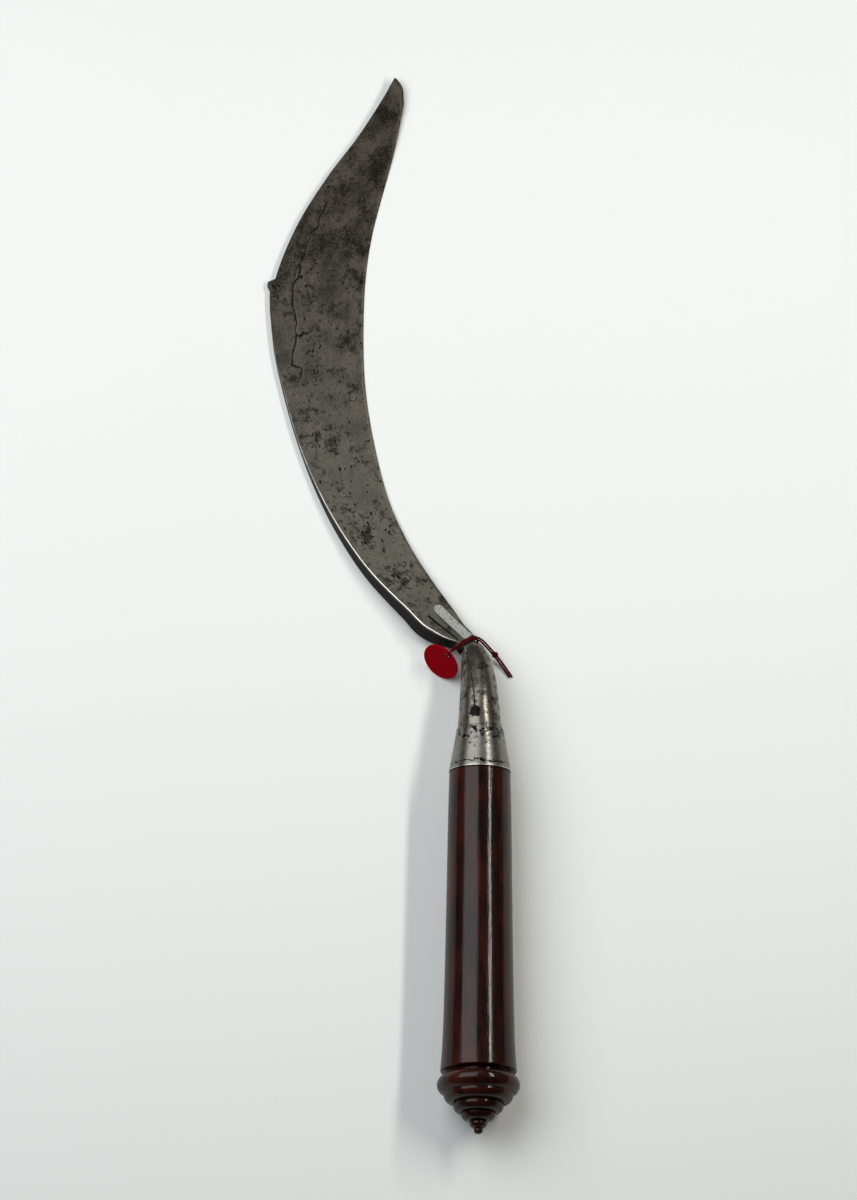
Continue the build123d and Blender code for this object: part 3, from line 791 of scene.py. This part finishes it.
# Painted shade: a ragged near-black ring round the rivet.
from_rivet = add_node(
    sheet_iron, "ShaderNodeVectorMath", {1: RIVET_AT},
    {0: place.outputs["Object"]}, operation="DISTANCE",
)
ragged_gap = add_node(
    sheet_iron, "ShaderNodeMath", {1: -0.0035},
    {0: worm.outputs["Fac"], 2: from_rivet.outputs["Value"]}, operation="MULTIPLY_ADD",
)
rivet_shade_share = add_node(
    sheet_iron, "ShaderNodeMapRange", {"From Min": 0.0016, "From Max": 0.0009},
    {"Value": ragged_gap.outputs["Value"]},
)
sheet_dark = add_node(
    sheet_iron, "ShaderNodeMix", {"B": hex_colour("#0E0A08")},
    {"Factor": rivet_shade_share.outputs["Result"], "A": sheet_tint.outputs["Result"]}, data_type="RGBA",
)
gloss = add_node(
    sheet_iron, "ShaderNodeMapRange", {"To Min": 0.27, "To Max": 0.44},
    {"Value": skin_share.outputs["Result"]},
)
soft_dents = add_node(
    sheet_iron, "ShaderNodeBump", {"Strength": 0.35, "Distance": 0.0005},
    {"Height": dents.outputs["Fac"]},
)
tooth = add_node(
    sheet_iron, "ShaderNodeBump", {"Strength": 0.35, "Distance": 0.00015},
    {"Height": fine.outputs["Fac"], "Normal": soft_dents.outputs["Normal"]},
)
sheet_iron.node_tree.links.new(sheet_dark.outputs["Result"], shader.inputs["Base Color"])
sheet_iron.node_tree.links.new(gloss.outputs["Result"], shader.inputs["Roughness"])
sheet_iron.node_tree.links.new(tooth.outputs["Normal"], shader.inputs["Normal"])
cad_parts["shank_sleeve"].material_slots[0].material = sheet_iron

# Ferrule: a cone of sheet iron driven over the end of the grip, kept as the CAD solid. Its marks
# lie at these distances along the handle.
JOINT_Y = -0.0692
PITS_FROM_Y, PITS_FULL_Y = -0.0830, -0.0740
CRACK_Y = -0.0921  # half a wander of 7 mm lower than the crack is seen
RIM_FROM_Y, RIM_FULL_Y = -0.0906, -0.0910

# Ferrule iron: greyer than the sleeve. Black pits 2.4 mm across crowd under its top edge, a ragged
# hairline crack that wanders over 3.8 mm runs round above its lower rim, dents of 7.7 mm break its
# shine, and the rim itself is rubbed bright.
ferrule_iron, shader = new_finish("worn_ferrule_iron", Metallic=0.95)
place = add_node(ferrule_iron, "ShaderNodeTexCoord")
split_place = add_node(ferrule_iron, "ShaderNodeSeparateXYZ", {}, {"Vector": place.outputs["Object"]})
pock = add_node(
    ferrule_iron, "ShaderNodeTexNoise", {"Scale": 420.0, "Detail": 6.0, "Roughness": 0.65},
    {"Vector": place.outputs["Object"]},
)
wander = add_node(
    ferrule_iron, "ShaderNodeTexNoise", {"Scale": 260.0, "Detail": 5.0, "Roughness": 0.65},
    {"Vector": place.outputs["Object"]},
)
dents = add_node(
    ferrule_iron, "ShaderNodeTexNoise", {"Scale": 130.0, "Detail": 2.0},
    {"Vector": place.outputs["Object"]},
)
near_top = add_node(
    ferrule_iron, "ShaderNodeMapRange",
    {"From Min": PITS_FROM_Y, "From Max": PITS_FULL_Y, "To Max": 0.17},
    {"Value": split_place.outputs["Y"]},
)
pock_sum = add_node(
    ferrule_iron, "ShaderNodeMath", {}, {0: pock.outputs["Fac"], 1: near_top.outputs["Result"]},
    operation="ADD",
)
pock_share = add_node(
    ferrule_iron, "ShaderNodeMapRange", {"From Min": 0.67, "From Max": 0.71},
    {"Value": pock_sum.outputs["Value"]},
)
crack_line = add_node(
    ferrule_iron, "ShaderNodeMath", {1: -0.007},
    {0: wander.outputs["Fac"], 2: split_place.outputs["Y"]}, operation="MULTIPLY_ADD",
)
crack_here = add_node(
    ferrule_iron, "ShaderNodeMath", {1: CRACK_Y, 2: 0.00038}, {0: crack_line.outputs["Value"]},
    operation="COMPARE",
)
joint_here = add_node(
    ferrule_iron, "ShaderNodeMath", {1: JOINT_Y}, {0: split_place.outputs["Y"]},
    operation="GREATER_THAN",
)
marks = add_node(
    ferrule_iron, "ShaderNodeMath", {},
    {0: crack_here.outputs["Value"], 1: pock_share.outputs["Result"]}, operation="MAXIMUM",
)
all_marks = add_node(
    ferrule_iron, "ShaderNodeMath", {}, {0: joint_here.outputs["Value"], 1: marks.outputs["Value"]},
    operation="MAXIMUM",
)
lip_share = add_node(
    ferrule_iron, "ShaderNodeMapRange", {"From Min": RIM_FROM_Y, "From Max": RIM_FULL_Y},
    {"Value": split_place.outputs["Y"]},
)
ferrule_tint = add_node(
    ferrule_iron, "ShaderNodeMix", {"A": hex_colour("#73706A"), "B": hex_colour("#9A968D")},
    {"Factor": lip_share.outputs["Result"]}, data_type="RGBA",
)
ferrule_dark = add_node(
    ferrule_iron, "ShaderNodeMix", {"B": hex_colour("#100C0A")},
    {"Factor": all_marks.outputs["Value"], "A": ferrule_tint.outputs["Result"]}, data_type="RGBA",
)
gloss = add_node(
    ferrule_iron, "ShaderNodeMapRange", {"To Min": 0.16, "To Max": 0.42},
    {"Value": pock.outputs["Fac"]},
)
soft_dents = add_node(
    ferrule_iron, "ShaderNodeBump", {"Strength": 0.4, "Distance": 0.0006},
    {"Height": dents.outputs["Fac"]},
)
tooth = add_node(
    ferrule_iron, "ShaderNodeBump", {"Strength": 0.5, "Distance": 0.0002},
    {"Height": pock.outputs["Fac"], "Normal": soft_dents.outputs["Normal"]},
)
ferrule_iron.node_tree.links.new(ferrule_dark.outputs["Result"], shader.inputs["Base Color"])
ferrule_iron.node_tree.links.new(gloss.outputs["Result"], shader.inputs["Roughness"])
ferrule_iron.node_tree.links.new(tooth.outputs["Normal"], shader.inputs["Normal"])
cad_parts["ferrule"].material_slots[0].material = ferrule_iron

# Grip: a close-grained hardwood, turned, dyed dark and waxed to a gloss. It is kept as the CAD
# solid.

# Stained hardwood under old wax: red-brown grain lines 1.1 mm wide and 36 mm long run along the
# handle, lathe rings of 1.1 mm lie across it, and lighter blooms of 11 by 38 mm show where the
# stain has worn. The wax coat gives it one sharp highlight.
stained_wood, shader = new_finish(
    "stained_waxed_hardwood", Coat_Weight=0.42, Coat_Roughness=0.08, Specular_IOR_Level=0.04,
)
place = add_node(stained_wood, "ShaderNodeTexCoord")
long_grain = add_node(
    stained_wood, "ShaderNodeMapping", {"Scale": (900.0, 28.0, 900.0)},
    {"Vector": place.outputs["Object"]},
)
grain = add_node(
    stained_wood, "ShaderNodeTexNoise", {"Scale": 1.0, "Detail": 5.0, "Roughness": 0.6},
    {"Vector": long_grain.outputs["Vector"]},
)
lathe_lines = add_node(
    stained_wood, "ShaderNodeMapping", {"Scale": (12.0, 900.0, 12.0)},
    {"Vector": place.outputs["Object"]},
)
lathe = add_node(
    stained_wood, "ShaderNodeTexNoise", {"Scale": 1.0, "Detail": 3.0},
    {"Vector": lathe_lines.outputs["Vector"]},
)
bloom_place = add_node(
    stained_wood, "ShaderNodeMapping", {"Scale": (90.0, 26.0, 90.0)},
    {"Vector": place.outputs["Object"]},
)
bloom = add_node(
    stained_wood, "ShaderNodeTexNoise", {"Scale": 1.0, "Detail": 5.0, "Roughness": 0.6},
    {"Vector": bloom_place.outputs["Vector"]},
)
grain_share = add_node(
    stained_wood, "ShaderNodeMapRange", {"From Min": 0.38, "From Max": 0.62},
    {"Value": grain.outputs["Fac"]},
)
stain = add_node(
    stained_wood, "ShaderNodeMix", {"A": hex_colour("#0B0201"), "B": hex_colour("#240805")},
    {"Factor": grain_share.outputs["Result"]}, data_type="RGBA",
)
bloom_share = add_node(
    stained_wood, "ShaderNodeMapRange", {"From Min": 0.46, "From Max": 0.70, "To Max": 0.7},
    {"Value": bloom.outputs["Fac"]},
)
figured = add_node(
    stained_wood, "ShaderNodeMix", {"B": hex_colour("#46170B")},
    {"Factor": bloom_share.outputs["Result"], "A": stain.outputs["Result"]}, data_type="RGBA",
)
gloss = add_node(
    stained_wood, "ShaderNodeMapRange", {"To Min": 0.3, "To Max": 0.5}, {"Value": bloom.outputs["Fac"]},
)
relief = add_node(
    stained_wood, "ShaderNodeMath", {1: 0.6}, {0: lathe.outputs["Fac"], 2: grain.outputs["Fac"]},
    operation="MULTIPLY_ADD",
)
tooth = add_node(
    stained_wood, "ShaderNodeBump", {"Strength": 0.3, "Distance": 0.0002},
    {"Height": relief.outputs["Value"]},
)
stained_wood.node_tree.links.new(figured.outputs["Result"], shader.inputs["Base Color"])
stained_wood.node_tree.links.new(gloss.outputs["Result"], shader.inputs["Roughness"])
stained_wood.node_tree.links.new(tooth.outputs["Normal"], shader.inputs["Normal"])
stained_wood.node_tree.links.new(tooth.outputs["Normal"], shader.inputs["Coat Normal"])
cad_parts["grip"].material_slots[0].material = stained_wood

# Pommel: the stepped end of the handle, of the same stained wood and kept as the CAD solid.
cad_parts["pommel"].material_slots[0].material = stained_wood

# Number patch: a strip of pale varnish paint brushed on the welded tongue, left blank. It is
# kept as the CAD solid.

# Dried varnish paint: silvery white and half matt, speckled every 0.7 mm where the
# iron shows through.
patch_paint, shader = new_finish("pale_varnish_paint", Roughness=0.45)
place = add_node(patch_paint, "ShaderNodeTexCoord")
speckle = add_node(
    patch_paint, "ShaderNodeTexNoise", {"Scale": 1500.0, "Detail": 4.0},
    {"Vector": place.outputs["Object"]},
)
speckle_share = add_node(
    patch_paint, "ShaderNodeMapRange", {"From Min": 0.52, "From Max": 0.64},
    {"Value": speckle.outputs["Fac"]},
)
paint_tint = add_node(
    patch_paint, "ShaderNodeMix", {"A": hex_colour("#9CA09A"), "B": hex_colour("#5C5A52")},
    {"Factor": speckle_share.outputs["Result"]}, data_type="RGBA",
)
tooth = add_node(
    patch_paint, "ShaderNodeBump", {"Strength": 0.3, "Distance": 0.0001},
    {"Height": speckle.outputs["Fac"]},
)
patch_paint.node_tree.links.new(paint_tint.outputs["Result"], shader.inputs["Base Color"])
patch_paint.node_tree.links.new(tooth.outputs["Normal"], shader.inputs["Normal"])
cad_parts["number_patch"].material_slots[0].material = patch_paint
